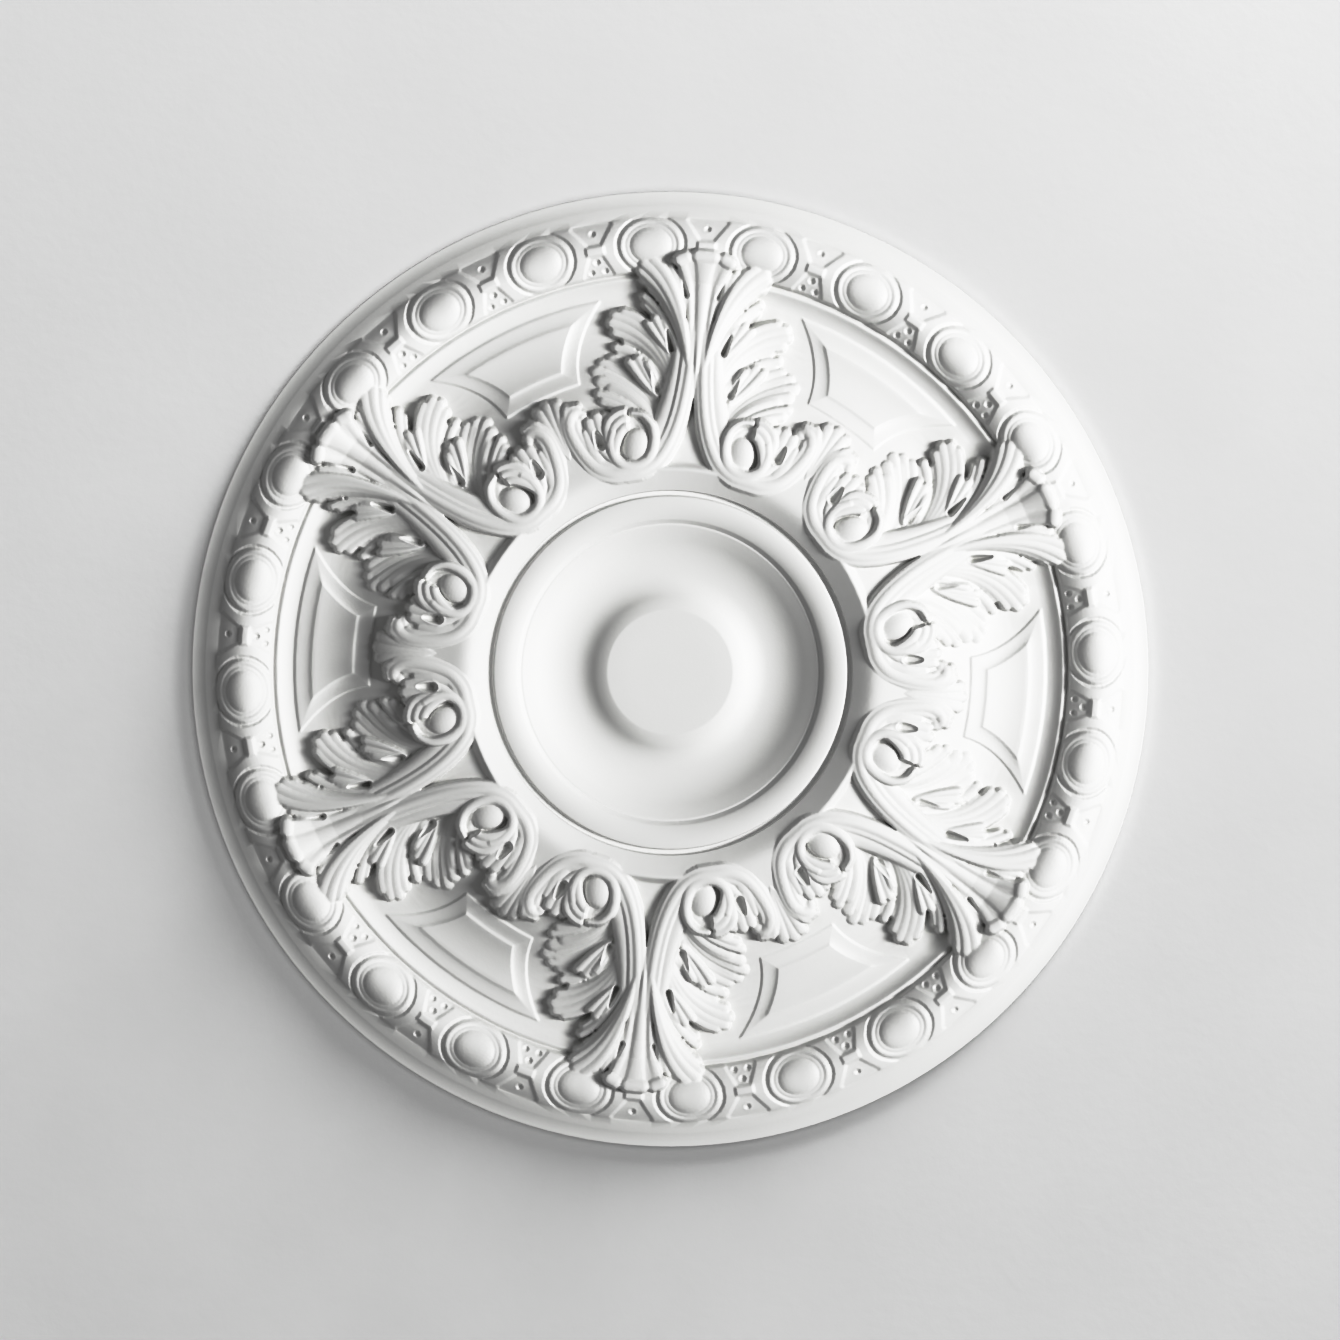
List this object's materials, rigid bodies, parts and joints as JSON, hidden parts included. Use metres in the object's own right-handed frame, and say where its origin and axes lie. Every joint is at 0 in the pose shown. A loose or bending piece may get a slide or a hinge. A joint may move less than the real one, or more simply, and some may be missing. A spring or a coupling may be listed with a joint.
{
  "type": "ceiling rose",
  "caption": "Round moulded ceiling rose: plain dished centre, ring of scrolls and acanthus leaves, raised panels and an egg-and-dart rim, with a flat back that is fixed to a ceiling.",
  "frame": {"origin": "middle of the flat back, which is fixed to the ceiling", "axes": "+Z out of the ceiling through the moulded face, +Y along the middle of one leaf"},
  "size_m": [0.72, 0.72, 0.0535],
  "materials": {
    "primed_moulding": "matt white primed polyurethane"
  },
  "bodies": {
    "root": {"ceiling_rose": "primed_moulding"}
  },
  "joints": []
}
